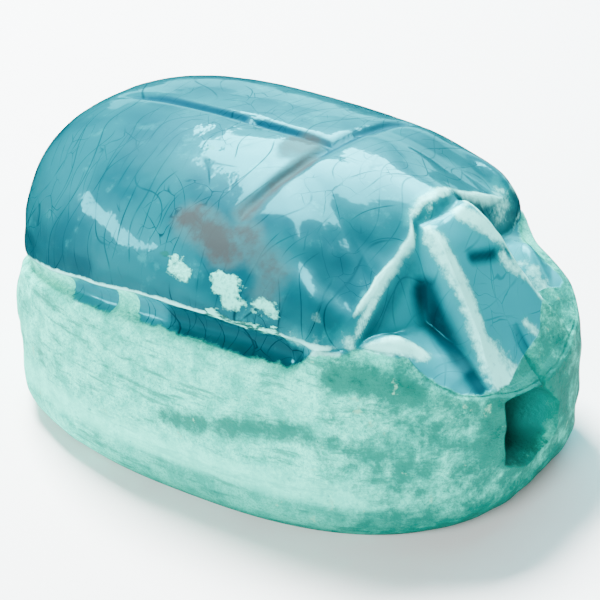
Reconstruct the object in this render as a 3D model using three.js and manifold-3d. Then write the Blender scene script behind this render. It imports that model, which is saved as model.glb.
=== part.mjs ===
// Glazed scarab amulet: an oval base with a domed beetle on it, bored from end to end.
// Millimetres. +Z is up, the underside lies on z = 0, and the head points along -Y.
import * as THREE from 'three';
import { mergeVertices } from 'three/addons/utils/BufferGeometryUtils.js';
import Module from 'manifold-3d';

const wasm = await Module();
wasm.setup();

// Driving dimensions of the oval
const LENGTH = 18.0;
const WIDTH = 12.72;
const REAR_SQUARENESS = 2.42;
const FRONT_SQUARENESS = 2.56;
const SQUARENESS_BLEND = 0.3;

// Base plate, from the underside up to its widest line
const FOOT_INSET = 0.72;
const FOOT_INSET_FRONT = 0.36;
const FOOT_ROUND_HEIGHT = 1.0;
const FOOT_ROUND_SHARES = [0.58, 0.36, 0.22];
const WIDEST_LOW = 2.2;
const WIDEST_HIGH = 3.5;
const WIDEST_INSET = 0.02;
const SHOULDER_INSET_SHARE = 0.6;
const SHOULDER_BELOW_LEDGE = 0.3;

// Wing cases: the rim line, its inset from the oval, and the crown
const RIM_HEIGHT = 6.5;
const RIM_FALL = 0.043;
const RIM_BEND = 0.019;
const DOME_FOOT = 6.3;
const CROWN_HEIGHT = 9.71;
const CROWN_Y = 1.5;
const CROWN_RISE = 0.017;
const CROWN_BEND = 0.005;
const DOME_POWER = 2.6;
const DOME_ROUNDNESS = 1.78;
const REAR_POWER = 1.1;
const FRONT_POWER = 0.3;
const REAR_ROUNDNESS = 0.74;
const RIM_BLEND_POWER = 4;
const SHOULDER_DROP = 0.8;
const SHOULDER_REACH = { rear: -1.9, front: -5.2, inner: 0.2, full: 2.6, fading: 4.2, outer: 5.4 };
const SHOULDER_RIM_POWER = 8;

// Leg groove between the base plate and the wing cases
const GROOVE_HEIGHT = 0.92;
const GROOVE_REAR_LOSS = 0.42;
const GROOVE_DEPTH = 0.4;
const GROOVE_SECTION = [[0.9, 0.15], [1, 0.7], [0.85, 0.88]];
const GROOVE_REAR_SHALLOW = 0.6;
const GROOVE_FRONT = { end: -4.9, full: -3.9 };
const GROOVE_REAR = { start: 0, narrow: 8.5, shallowStart: 5, shallow: 8 };
const PLATE_LIP = 0.2;
const EDGE_ROLL = 0.12;

// Head: the cut face of the fore body, the head plate and the cheeks
const FACE_Y = -4.93;
const FACE_TOP = 9.4;
const FACE_FALL = 0.62;
const FACE_SLOPE = 3.3;
const FACE_STEP = { forward: 0.27, from: -0.9, to: -1.6 };
const HEAD_WALL_SLOPE = 3.0;
const HEAD_DISH = 0.14;
const CHEEK_RISE = 0.3;
const CHEEK_RISE_REACH = { full: 2.5, none: 5.2 };
const CHEEK_LUMP = 0.55;
const CHEEK_LUMPS = { left: { x: 3.9, y: -6.1 }, right: { x: 3.1, y: -6.45 } };
const CHEEK_LUMP_WIDTH = 0.75;
const CHEEK_LUMP_LENGTH = 0.65;
const CHEEK_LUMP_TURN = 0.6;
const CLYPEUS_SLOT_DEPTH = 0.3;
const CLYPEUS_SLOT_HALF = 0.2;
const CLYPEUS_SLOT_START = -7.7;
const CLYPEUS_SLOT_RUN = 0.3;

// Incised lines on the back
const LINE_WIDTH = 0.42;
const LINE_DEPTH = 0.2;
const LINE_LIFT = 0.12;
const LINE_END = { width: 0.35, depth: 0.1, sections: 2 };
const SUTURE_X = -0.3;
const SUTURE_REAR = 6.6;
const CROSS_LINE_Y = -1.45;
const CROSS_LINE_SKEW = -0.07;
const CROSS_LINE_REACH = 4.5;

// Bore for the cord, off centre at the head end
const BORE_HEIGHT = 3.0;
const BORE_FRONT_X = -0.68;
const BORE_REAR_X = 0.1;
const BORE_RADIUS = 1.05;
const MOUTH_DEPTH = 1.3;
const MOUTH_STEPS = [[0.1, 1], [0.6, 0.45], [MOUTH_DEPTH, 0]];
const REAR_MOUTH_RADIUS = 1.3;
const REAR_MOUTH_DEPTH = 0.2;

// Facets
const COLUMNS = 96;
const DOME_RINGS = 15;
const DOME_RING_CROWDING = 0.8;
const CHEEK_COLUMNS = 9;
const HEAD_ROWS = 14;
const PLATE_COLUMN = 0.6;
const WALL_LEAST_DROP = 0.15;
const WALL_FOOT_LOOK = 0.5;
const CUTTER_MARGIN = 0.8;
const HALVINGS = 30;
const ANGLE_STEPS = 40;
const ANGLE_GAIN = 0.7;
const BORE_SIDES = 18;
const LINE_STEPS = 22;

const HALF_LENGTH = LENGTH / 2;
const HALF_WIDTH = WIDTH / 2;
const CLEAR = 2.0;
const MERGE_DISTANCE = 1e-5;

// Straight interpolation through a few [station, value] pairs in rising order
function along(pairs, at) {
  if (at <= pairs[0][0]) {
    return pairs[0][1];
  }
  for (let k = 1; k < pairs.length; k += 1) {
    if (at <= pairs[k][0]) {
      const share = (at - pairs[k - 1][0]) / (pairs[k][0] - pairs[k - 1][0]);
      return mix(pairs[k - 1][1], pairs[k][1], share);
    }
  }
  return pairs[pairs.length - 1][1];
}

function ease(from, to, at) {
  const t = THREE.MathUtils.clamp((at - from) / (to - from), 0, 1);
  return t * t * (3 - 2 * t);
}

function mix(a, b, t) {
  return a + (b - a) * t;
}

// Plan outline: a superellipse, a little squarer at the rear
function outline(angle) {
  const c = Math.cos(angle);
  const s = Math.sin(angle);
  const power = 2 / mix(FRONT_SQUARENESS, REAR_SQUARENESS, ease(-SQUARENESS_BLEND, SQUARENESS_BLEND, s));
  return {
    x: HALF_WIDTH * Math.sign(c) * Math.abs(c) ** power,
    y: HALF_LENGTH * Math.sign(s) * Math.abs(s) ** power,
  };
}

function inset(point, by) {
  return {
    x: point.x * (HALF_WIDTH - by) / HALF_WIDTH,
    y: point.y * (HALF_LENGTH - by) / HALF_LENGTH,
  };
}

// The beetle's edge stands in from the base plate, most of all beside the cheeks
const EDGE_INSET = { front: 0.28, cheek: 0.98, side: 0.33 };
const CHEEK_NOTCH = { front: -8.4, frontFull: -6.9, rearFull: -6.3, rear: -4.6 };
const SIDE_BLEND = { front: -7, rear: -3 };

function edgeInset(y) {
  const rising = ease(CHEEK_NOTCH.front, CHEEK_NOTCH.frontFull, y);
  const falling = ease(CHEEK_NOTCH.rearFull, CHEEK_NOTCH.rear, y);
  const plain = mix(EDGE_INSET.front, EDGE_INSET.side, ease(SIDE_BLEND.front, SIDE_BLEND.rear, y));
  return mix(plain, EDGE_INSET.cheek, rising * (1 - falling));
}

// Head plate: half width and height of its side ridges from the neck to the front edge
const HEAD_HALF = [
  [-9.2, 2.3], [-8.4, 2.15], [-8, 1.95], [-7.5, 1.62], [-7, 1.48], [-6.5, 1.38], [-6, 1.2], [-5.5, 1.12], [-5, 1],
];
const HEAD_TOP = [
  [-9.4, 3.7], [-8.8, 4.2], [-8.5, 4.5], [-6.5, 7.4], [-6, 8.05], [-5.45, 8.55], [-5.25, 8.42], [-5, 8.1],
];

// Cheek floor height, falling to the front
const CHEEK_FLOOR = [
  [-9.4, 3.9], [-8.6, 4.15], [-8.3, 4.3], [-7.7, 4.8], [-7.1, 5.15], [-6.2, 5.6], [-5.4, 5.85], [-4.5, 6.3],
];

function cheekHeight(x, y) {
  const side = Math.abs(x);
  const lump = x < 0 ? CHEEK_LUMPS.left : CHEEK_LUMPS.right;
  const across = (side - lump.x) / CHEEK_LUMP_WIDTH;
  const lengthwise = (y - lump.y + CHEEK_LUMP_TURN * (lump.x - side)) / CHEEK_LUMP_LENGTH;
  const rise = CHEEK_RISE * (1 - ease(CHEEK_RISE_REACH.full, CHEEK_RISE_REACH.none, side));
  return along(CHEEK_FLOOR, y) + rise + CHEEK_LUMP * Math.exp(-across * across - lengthwise * lengthwise);
}

// Sloping cut face of the fore body, a step further forward on the beetle's right
function faceHeight(x, y) {
  const step = FACE_STEP.forward * ease(FACE_STEP.from, FACE_STEP.to, x);
  return FACE_TOP - FACE_FALL * Math.abs(x) - FACE_SLOPE * (FACE_Y - step - y);
}

// Head plate with its front slot, the walls beside it and the cheeks
function plateHeight(x, y) {
  const side = Math.abs(x);
  const half = along(HEAD_HALF, y);
  const crest = along(HEAD_TOP, y);
  if (side >= half) {
    return Math.max(crest - HEAD_WALL_SLOPE * (side - half), cheekHeight(x, y));
  }
  const started = ease(CLYPEUS_SLOT_START, CLYPEUS_SLOT_START - CLYPEUS_SLOT_RUN, y);
  const slot = Math.max(0, 1 - side / CLYPEUS_SLOT_HALF) * started;
  return crest - HEAD_DISH * (1 - (side / half) ** 2) - CLYPEUS_SLOT_DEPTH * slot;
}

function headHeight(x, y) {
  return Math.max(faceHeight(x, y), plateHeight(x, y));
}

function rimHeight(point) {
  const body = RIM_HEIGHT - RIM_FALL * point.y - RIM_BEND * point.y * point.y;
  const front = headHeight(point.x, point.y) + EDGE_ROLL;
  return point.y < FACE_Y ? Math.min(body, front) : body;
}

// Dome over the oval; share runs from 0 at the crown to 1 at the rim
function domeHeight(x, y, share, angle, rim) {
  const s = Math.sin(angle);
  const rear = Math.max(s, 0) ** 2;
  const front = Math.max(-s, 0) ** 2;
  const power = DOME_POWER + REAR_POWER * rear + FRONT_POWER * front;
  const roundness = DOME_ROUNDNESS + REAR_ROUNDNESS * rear;
  const foot = mix(DOME_FOOT, rim, share ** RIM_BLEND_POWER);
  const crown = CROWN_HEIGHT + CROWN_RISE * (y - CROWN_Y) - CROWN_BEND * (y - CROWN_Y) ** 2;
  const bulge = Math.max(0, 1 - share ** power) ** (1 / roundness);
  return foot + (crown - foot) * bulge - shoulderDrop(x, y) * (1 - share ** SHOULDER_RIM_POWER);
}

// The fore body falls away a little on both sides of its middle
function shoulderDrop(x, y) {
  const side = Math.abs(x);
  const lengthwise = ease(SHOULDER_REACH.rear, SHOULDER_REACH.front, y);
  const inner = ease(SHOULDER_REACH.inner, SHOULDER_REACH.full, side);
  const outer = 1 - ease(SHOULDER_REACH.fading, SHOULDER_REACH.outer, side);
  return SHOULDER_DROP * lengthwise * inner * outer;
}

// Side stations from the underside up to the rim, as [inset, height]
function sideProfile(angle, edge) {
  const front = Math.max(-Math.sin(angle), 0) ** 2;
  const y = outline(angle).y;
  const reach = ease(GROOVE_FRONT.end, GROOVE_FRONT.full, y);
  const rimInset = edgeInset(y);
  const narrowing = GROOVE_REAR_LOSS * ease(GROOVE_REAR.start, GROOVE_REAR.narrow, y);
  const gap = mix(EDGE_ROLL, GROOVE_HEIGHT, reach) - narrowing;
  const shallowing = GROOVE_REAR_SHALLOW * ease(GROOVE_REAR.shallowStart, GROOVE_REAR.shallow, y);
  const depth = GROOVE_DEPTH * reach * (1 - shallowing);
  const ledge = edge - gap;
  const lip = mix(SHOULDER_INSET_SHARE * rimInset, PLATE_LIP, reach);
  const foot = FOOT_INSET + FOOT_INSET_FRONT * front;
  const rounding = FOOT_ROUND_SHARES.map((share, k) => (
    [share * foot, (k + 1) / FOOT_ROUND_SHARES.length * FOOT_ROUND_HEIGHT]
  ));
  const shoulder = Math.min(ledge - SHOULDER_BELOW_LEDGE, mix(WIDEST_HIGH, ledge, SHOULDER_INSET_SHARE));
  return [
    [foot, 0],
    ...rounding,
    [WIDEST_INSET, WIDEST_LOW],
    [0, WIDEST_HIGH],
    [SHOULDER_INSET_SHARE * lip, shoulder],
    [lip, ledge],
    ...GROOVE_SECTION.map(([inward, up]) => [rimInset + inward * depth, ledge + up * gap]),
    [rimInset, edge],
  ];
}

// Six times the volume that the triangles enclose, negative where they face inwards
function signedVolume(vertices, triangles) {
  const corner = (k) => new THREE.Vector3(...vertices[k]);
  return triangles.reduce((sum, [a, b, c]) => sum + corner(a).dot(corner(b).cross(corner(c))), 0);
}

// Closed mesh to solid, with its faces turned outwards
function solidFrom(vertices, triangles) {
  const facing = signedVolume(vertices, triangles) > 0 ? triangles : triangles.map(([a, b, c]) => [a, c, b]);
  const raw = new THREE.BufferGeometry();
  raw.setAttribute('position', new THREE.Float32BufferAttribute(vertices.flat(), 3));
  raw.setIndex(facing.flat());
  const merged = mergeVertices(raw, MERGE_DISTANCE);
  return new wasm.Manifold(new wasm.Mesh({
    numProp: 3,
    vertProperties: merged.attributes.position.array,
    triVerts: Uint32Array.from(merged.index.array),
  }));
}

// Skin over rings of equal count, closed by a point at each end
function ringSolid(rings, startPoint, endPoint) {
  const count = rings[0].length;
  const vertices = [startPoint, ...rings.flat(), endPoint];
  const last = vertices.length - 1;
  const triangles = [];
  for (let i = 0; i < count; i += 1) {
    const next = (i + 1) % count;
    triangles.push([0, 1 + next, 1 + i]);
    for (let r = 0; r + 1 < rings.length; r += 1) {
      const low = 1 + r * count;
      const high = low + count;
      triangles.push([low + i, low + next, high + next]);
      triangles.push([low + i, high + next, high + i]);
    }
    const top = 1 + (rings.length - 1) * count;
    triangles.push([top + i, top + next, last]);
  }
  return solidFrom(vertices, triangles);
}

// Base plate, leg groove and an unbroken dome over the whole oval
function bodySolid() {
  const angles = Array.from({ length: COLUMNS }, (_, i) => (i / COLUMNS) * 2 * Math.PI);
  const columns = angles.map((angle) => {
    const plan = outline(angle);
    const rimPoint = inset(plan, edgeInset(plan.y));
    const edge = rimHeight(rimPoint);
    const points = sideProfile(angle, edge).map(([by, z]) => {
      const p = inset(plan, by);
      return [p.x, p.y, z];
    });
    for (let k = DOME_RINGS - 1; k > 0; k -= 1) {
      const share = Math.sin((k / DOME_RINGS) * Math.PI / 2) ** DOME_RING_CROWDING;
      const x = share * rimPoint.x;
      const y = CROWN_Y + share * (rimPoint.y - CROWN_Y);
      points.push([x, y, domeHeight(x, y, share, angle, edge)]);
    }
    return points;
  });
  const rings = columns[0].map((_, r) => columns.map((column) => column[r]));
  return ringSolid(rings, [0, 0, 0], [0, CROWN_Y, CROWN_HEIGHT]);
}

// Where the cut face meets the plate, wall or cheek in front of it
function faceFoot(x) {
  let front = -HALF_LENGTH - CLEAR;
  let back = FACE_Y;
  for (let step = 0; step < HALVINGS; step += 1) {
    const middle = (front + back) / 2;
    if (faceHeight(x, middle) > plateHeight(x, middle)) {
      back = middle;
    } else {
      front = middle;
    }
  }
  return (front + back) / 2;
}

// Distances from the middle line at which the head's surface has its edges, and the cheek beyond them
function headStations(y) {
  const half = along(HEAD_HALF, y);
  const drop = Math.max(WALL_LEAST_DROP, along(HEAD_TOP, y) - cheekHeight(half + WALL_FOOT_LOOK, y));
  const wallFoot = half + drop / HEAD_WALL_SLOPE;
  const cheeks = Array.from({ length: CHEEK_COLUMNS }, (_, k) => (
    mix(wallFoot, HALF_WIDTH + CUTTER_MARGIN, (k + 1) / CHEEK_COLUMNS)
  ));
  const side = [CLYPEUS_SLOT_HALF, PLATE_COLUMN * half, half, wallFoot, ...cheeks];
  return [...side.map((x) => -x).reverse(), 0, ...side];
}

// Everything above the head and cheeks, from the cut face forward. Its rows follow the foot of the face.
function headCutter() {
  const back = FACE_Y + CUTTER_MARGIN / 2;
  const front = -HALF_LENGTH - CUTTER_MARGIN;
  const count = headStations(front).length;
  const columns = Array.from({ length: count }, (_, c) => {
    const foot = faceFoot(headStations(FACE_Y)[c]);
    const rows = Array.from({ length: HEAD_ROWS + 1 }, (_row, r) => mix(foot, front, r / HEAD_ROWS));
    return [back, ...rows].map((y, r) => {
      const x = headStations(r < 2 ? foot : y)[c];
      const settled = r === 1 ? faceFoot(x) : y;
      return [x, settled, headHeight(x, settled)];
    });
  });
  const lower = columns[0].map((_, r) => columns.map((column) => column[r]));
  const ceiling = CROWN_HEIGHT + CLEAR;
  const upper = lower.map((row) => row.map(([x, y]) => [x, y, ceiling]));
  return sheetSolid(lower, upper);
}

// Solid between two sheets of points laid out in the same rows and columns
function sheetSolid(lower, upper) {
  const rows = lower.length;
  const columns = lower[0].length;
  const vertices = [...lower.flat(), ...upper.flat()];
  const triangles = [];
  const low = (r, c) => r * columns + c;
  const high = (r, c) => rows * columns + low(r, c);
  const quad = (a, b, c, d) => triangles.push([a, b, c], [a, c, d]);
  for (let r = 0; r + 1 < rows; r += 1) {
    for (let c = 0; c + 1 < columns; c += 1) {
      quad(low(r, c), low(r, c + 1), low(r + 1, c + 1), low(r + 1, c));
      quad(high(r, c), high(r + 1, c), high(r + 1, c + 1), high(r, c + 1));
    }
    quad(low(r, 0), low(r + 1, 0), high(r + 1, 0), high(r, 0));
    quad(low(r + 1, columns - 1), low(r, columns - 1), high(r, columns - 1), high(r + 1, columns - 1));
  }
  for (let c = 0; c + 1 < columns; c += 1) {
    quad(low(0, c + 1), low(0, c), high(0, c), high(0, c + 1));
    quad(low(rows - 1, c), low(rows - 1, c + 1), high(rows - 1, c + 1), high(rows - 1, c));
  }
  return solidFrom(vertices, triangles);
}

// Height of the dome over a point of the plan
function domeAt(x, y) {
  const wanted = Math.atan2(y - CROWN_Y, x);
  let angle = wanted;
  let best = null;
  for (let step = 0; step < ANGLE_STEPS; step += 1) {
    const plan = outline(angle);
    const rimPoint = inset(plan, edgeInset(plan.y));
    const got = Math.atan2(rimPoint.y - CROWN_Y, rimPoint.x);
    const miss = Math.atan2(Math.sin(wanted - got), Math.cos(wanted - got));
    best = { angle, rimPoint };
    angle += ANGLE_GAIN * miss;
  }
  const full = Math.hypot(best.rimPoint.x, best.rimPoint.y - CROWN_Y);
  const share = Math.hypot(x, y - CROWN_Y) / full;
  return domeHeight(x, y, share, best.angle, rimHeight(best.rimPoint));
}

// V-shaped cutter along a line drawn on the back, given as plan points
function lineCutter(path) {
  const sections = path.map(([x, y], k) => {
    const before = path[Math.max(0, k - 1)];
    const after = path[Math.min(path.length - 1, k + 1)];
    const run = Math.hypot(after[0] - before[0], after[1] - before[1]);
    const nx = -(after[1] - before[1]) / run;
    const ny = (after[0] - before[0]) / run;
    const end = Math.min(1, k / LINE_END.sections, (path.length - 1 - k) / LINE_END.sections);
    const half = mix(LINE_END.width, 1, end) * LINE_WIDTH / 2;
    const depth = mix(LINE_END.depth, 1, end) * LINE_DEPTH;
    const left = [x - nx * half, y - ny * half];
    const right = [x + nx * half, y + ny * half];
    return [
      [...left, domeAt(...left) + LINE_LIFT],
      [x, y, domeAt(x, y) - depth],
      [...right, domeAt(...right) + LINE_LIFT],
    ];
  });
  return ringSolid(sections, middleOf(sections[0]), middleOf(sections[sections.length - 1]));
}

function middleOf(points) {
  return [0, 1, 2].map((axis) => points.reduce((sum, point) => sum + point[axis], 0) / points.length);
}

// Line between the wing cases, from the cross line to the rear
function suturePath() {
  return Array.from({ length: LINE_STEPS }, (_, k) => {
    const t = k / (LINE_STEPS - 1);
    return [SUTURE_X * t, mix(CROSS_LINE_Y, SUTURE_REAR, t)];
  });
}

// Line between the wing cases and the fore body
function crossPath() {
  return Array.from({ length: LINE_STEPS }, (_, k) => {
    const x = mix(-CROSS_LINE_REACH, CROSS_LINE_REACH, k / (LINE_STEPS - 1));
    return [x, CROSS_LINE_Y + CROSS_LINE_SKEW * x];
  });
}

// Rough mouth of the bore at the head end, looking at it from the front
const MOUTH = [
  [-2.05, 4.25], [-2.12, 3.2], [-2.0, 2.2], [-0.9, 1.72], [0.7, 1.95], [0.62, 3.1], [-0.3, 4.0],
];

function boreSolid() {
  const corners = MOUTH.map(([x, z]) => new THREE.Vector3(x, 0, z));
  const loop = new THREE.CatmullRomCurve3(corners, true, 'centripetal');
  const mouth = loop.getPoints(BORE_SIDES).slice(0, BORE_SIDES);
  const reach = HALF_LENGTH + CLEAR;
  const front = { centre: BORE_FRONT_X, radius: BORE_RADIUS };
  const rearEnd = { centre: BORE_REAR_X, radius: REAR_MOUTH_RADIUS, flare: 0 };
  const stations = [
    { ...front, y: -reach, flare: 1 },
    ...MOUTH_STEPS.map(([depth, flare]) => ({ ...front, y: depth - HALF_LENGTH, flare })),
    { y: HALF_LENGTH - MOUTH_DEPTH, flare: 0, centre: BORE_REAR_X, radius: BORE_RADIUS },
    { ...rearEnd, y: HALF_LENGTH - REAR_MOUTH_DEPTH },
    { ...rearEnd, y: reach },
  ];
  const rings = stations.map(({ y, flare, centre, radius }) => mouth.map((point) => {
    const angle = Math.atan2(point.z - BORE_HEIGHT, point.x - BORE_FRONT_X);
    const round = [centre + radius * Math.cos(angle), BORE_HEIGHT + radius * Math.sin(angle)];
    return [mix(round[0], point.x, flare), y, mix(round[1], point.z, flare)];
  }));
  return ringSolid(rings, [BORE_FRONT_X, -reach, BORE_HEIGHT], [BORE_REAR_X, reach, BORE_HEIGHT]);
}

function meshOf(solid, name, material) {
  const mesh = solid.getMesh();
  const geometry = new THREE.BufferGeometry();
  geometry.setAttribute('position', new THREE.BufferAttribute(mesh.vertProperties, 3));
  geometry.setIndex(new THREE.BufferAttribute(mesh.triVerts, 1));
  const result = new THREE.Mesh(geometry, material);
  result.name = name;
  return result;
}

const glaze = new THREE.MeshStandardMaterial({ color: 0x35b3c4, roughness: 0.25, metalness: 0 });
const cutters = [headCutter(), lineCutter(suturePath()), lineCutter(crossPath()), boreSolid()];
const scarabSolid = cutters.reduce((solid, cutter) => solid.subtract(cutter), bodySolid());

const scarab = new THREE.Group();
scarab.add(meshOf(scarabSolid, 'scarab', glaze));

export default scarab;
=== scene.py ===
import math

import bpy
import numpy as np
from mathutils import Matrix, Vector
from mathutils.kdtree import KDTree


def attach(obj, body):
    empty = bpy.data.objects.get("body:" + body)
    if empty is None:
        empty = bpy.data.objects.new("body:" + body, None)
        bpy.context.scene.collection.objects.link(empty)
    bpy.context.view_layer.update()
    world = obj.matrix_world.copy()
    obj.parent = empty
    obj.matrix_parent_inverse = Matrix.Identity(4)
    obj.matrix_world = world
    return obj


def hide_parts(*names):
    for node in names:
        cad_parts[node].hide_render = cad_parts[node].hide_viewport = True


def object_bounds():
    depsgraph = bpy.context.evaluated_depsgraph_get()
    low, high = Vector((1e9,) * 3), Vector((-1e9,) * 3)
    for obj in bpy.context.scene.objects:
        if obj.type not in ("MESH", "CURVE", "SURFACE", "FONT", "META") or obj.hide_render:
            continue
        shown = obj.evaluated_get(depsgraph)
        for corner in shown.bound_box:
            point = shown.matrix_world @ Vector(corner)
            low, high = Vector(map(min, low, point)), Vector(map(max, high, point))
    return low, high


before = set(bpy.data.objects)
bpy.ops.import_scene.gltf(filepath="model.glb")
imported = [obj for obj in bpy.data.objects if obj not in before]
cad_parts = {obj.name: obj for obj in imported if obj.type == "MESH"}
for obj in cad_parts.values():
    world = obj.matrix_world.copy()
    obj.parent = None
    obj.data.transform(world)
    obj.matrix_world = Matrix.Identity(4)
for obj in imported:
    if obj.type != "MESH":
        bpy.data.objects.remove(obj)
cad_low, cad_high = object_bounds()

# Driving sizes in millimetres: +Z is up, the head points along -Y
LENGTH = 18.0
WIDTH = 12.72
HALF_LENGTH = LENGTH / 2
HALF_WIDTH = WIDTH / 2
MM = (cad_high.x - cad_low.x) / WIDTH
REAR_SQUARENESS = 2.42
FRONT_SQUARENESS = 2.56
SQUARENESS_BLEND = 0.3

# Base plate, from the underside up to its widest line. The foot's profile is in shares of inset and height.
# A name that ends in RANGE holds two values: a form or finish grows from the first to the second.
FOOT_INSET = 0.72
FOOT_INSET_FRONT = 0.36
FOOT_ROUND_HEIGHT = 1.0
FOOT_PROFILE = ((1.0, 0.0), (0.58, 0.33), (0.36, 0.67), (0.22, 1.0))
WIDEST_LOW = 2.2
WIDEST_LOW_INSET = 0.02
WIDEST_HIGH = 3.5
PLATE_TURN_SHARE = 0.6
PLATE_TURN_DROP = 0.3

# Slight shelf low on the base plate, worn by standing
SHELF_HEIGHT = 1.25
SHELF_DEPTH = 0.07
SHELF_ABOVE = 0.25
SHELF_BELOW = 0.05
SHELF_FOOT_RANGE = (0.0, 0.8)

# Wing cases: the rim line, its inset from the oval, the crown and the shoulders that fall to the cut face
RIM_HEIGHT = 6.5
RIM_FALL = 0.043
RIM_BEND = 0.019
DOME_FOOT = 6.3
DOME_FOOT_POWER = 4
CROWN_HEIGHT = 9.71
CROWN_Y = 1.5
CROWN_RISE = 0.017
CROWN_BEND = 0.005
DOME_POWER = 2.6
DOME_ROUNDNESS = 1.78
REAR_POWER = 1.1
FRONT_POWER = 0.3
REAR_ROUNDNESS = 0.74
SHOULDER_DROP = 0.8
SHOULDER_FADE_POWER = 8
SHOULDER_FRONT_RANGE = (-1.9, -5.2)
SHOULDER_INNER_RANGE = (0.2, 2.6)
SHOULDER_OUTER_RANGE = (4.2, 5.4)
EDGE_INSET_FRONT = 0.28
EDGE_INSET_CHEEK = 0.98
EDGE_INSET_SIDE = 0.33
CHEEK_INSET_RANGE = (-8.4, -6.9)
CHEEK_INSET_REAR_RANGE = (-6.3, -4.6)
SIDE_INSET_RANGE = (-7.0, -3.0)

# Leg groove between the base plate and the wing cases. Its profile is in shares of depth and height.
GROOVE_HEIGHT = 0.92
GROOVE_REAR_LOSS = 0.42
GROOVE_DEPTH = 0.4
GROOVE_REAR_DEPTH_LOSS = 0.6
GROOVE_PROFILE = ((0.9, 0.15), (1.0, 0.7), (0.85, 0.88))
GROOVE_START_RANGE = (-4.9, -3.9)
GROOVE_HEIGHT_RANGE = (0.0, 8.5)
GROOVE_DEPTH_RANGE = (5.0, 8.0)
PLATE_LIP = 0.2
FRONT_LIP_SHARE = 0.6
EDGE_ROLL = 0.12

# Head: the cut face of the fore body, the head plate and the cheeks
FACE_Y = -4.93
FACE_TOP = 9.4
FACE_FALL = 0.62
FACE_SLOPE = 3.3
FACE_STEP = 0.27
FACE_STEP_RANGE = (-0.9, -1.6)
FACE_MARGIN = 1.0
HEAD_WALL_SLOPE = 3.0
HEAD_DISH = 0.14
HEAD_BACK = -5.25
CHEEK_RISE = 0.3
CHEEK_RISE_RANGE = (2.5, 5.2)
CHEEK_LUMP = 0.55
CHEEK_LUMP_WIDTH = 0.75
CHEEK_LUMP_LENGTH = 0.65
CHEEK_LUMP_TURN = 0.6
CHEEK_LUMP_NEAR = (3.9, -6.1)
CHEEK_LUMP_FAR = (3.1, -6.45)
CLYPEUS_SLOT_DEPTH = 0.3
CLYPEUS_SLOT_HALF = 0.2
CLYPEUS_SLOT_RANGE = (-7.7, -8.0)
RIDGE_ROUNDING = 0.16

# Head plate: half width and height of its side ridges from the front edge to the neck, and the cheeks' floor
HEAD_HALF_Y = (-9.2, -8.4, -8.0, -7.5, -7.0, -6.5, -6.0, -5.5, -5.0)
HEAD_HALF = (2.3, 2.15, 1.95, 1.62, 1.48, 1.38, 1.2, 1.12, 1.0)
HEAD_TOP_Y = (-9.4, -8.8, -8.5, -6.5, -6.0, -5.45, HEAD_BACK, -5.0)
HEAD_TOP = (3.7, 4.2, 4.5, 7.4, 8.05, 8.55, 8.42, 8.1)
CHEEK_FLOOR_Y = (-9.4, -8.6, -8.3, -7.7, -7.1, -6.2, -5.4, -4.5)
CHEEK_FLOOR = (3.9, 4.15, 4.3, 4.8, 5.15, 5.6, 5.85, 6.3)

# Incised lines on the back, and the wider band of pooled glaze along each of them
LINE_WIDTH = 0.34
LINE_DEPTH = 0.16
LINE_FADE = 1.5
LINE_SHARPNESS = 2
LINE_TOP_RANGE = (0.2, 0.6)
LINE_TILT_RANGE = (0.1, 0.5)
SUTURE_X = -0.3
SUTURE_REAR = 6.6
CROSS_LINE_Y = -1.45
CROSS_LINE_SKEW = -0.07
CROSS_LINE_REACH = 4.7
SUTURE_START_RANGE = (CROSS_LINE_Y - 0.3, CROSS_LINE_Y)
POOLED_LINE_HALF = 0.75 * LINE_WIDTH
POOLED_LINE_FADE = 2.0
POOLED_LINE_SHARPNESS = 4
POOLED_START_RANGE = (CROSS_LINE_Y - 0.2, CROSS_LINE_Y + 0.4)

# Bore for the cord, off centre at the head end. The mouth's corners are in x and z.
BORE_HEIGHT = 3.0
BORE_FRONT_X = -0.68
BORE_REAR_X = 0.1
BORE_RADIUS = 1.05
BORE_SIDES = 96
BORE_STEPS = 9
BORE_FIRST_STEP = 0.1
MOUTH = ((-2.05, 4.25), (-2.12, 3.2), (-2.0, 2.2), (-0.9, 1.72), (0.7, 1.95), (0.62, 3.1), (-0.3, 4.0))
MOUTH_DEPTH = 1.3
MOUTH_RIM = 0.1
MOUTH_FIRST_STEP = 0.3
MOUTH_STEPS = 8
MOUTH_STRAIGHTNESS = 0.6
REAR_MOUTH_RADIUS = 1.3
REAR_MOUTH_DEPTH = 0.2
CUTTER_OVERHANG = 2.0

# Hand-made waviness of the surface: height on the base and on the back, wavelength and seed
BROAD_WAVES = (0.035, 0.014, 2.6, 11)
SHORT_WAVES = (0.014, 0.004, 0.9, 12)
WAVES_FOOT_RANGE = (0.0, 0.6)
WAVES_SUMMED = 10
WAVELENGTH_SPREAD = (0.7, 1.6)

# Waviness of the shelf, of the darker strip's edge and of the bore's wall: height, wavelength and seed
SHELF_WAVES = (0.12, 4.0, 13)
STRIP_WAVES = (0.12, 3.0, 14)
BORE_WAVES = (0.05, 1.1, 21)

# Mesh density and smoothing
COLUMNS = 392
SIDE_RINGS = 66
DOME_RINGS = 146
BOTTOM_RINGS = 10
FRONT_CROWDING = 0.35
DOME_CROWDING = 0.8
SOFTEN_PASSES = 3
CONVEXITY_REACH = 4
TINY = 1e-9

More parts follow.
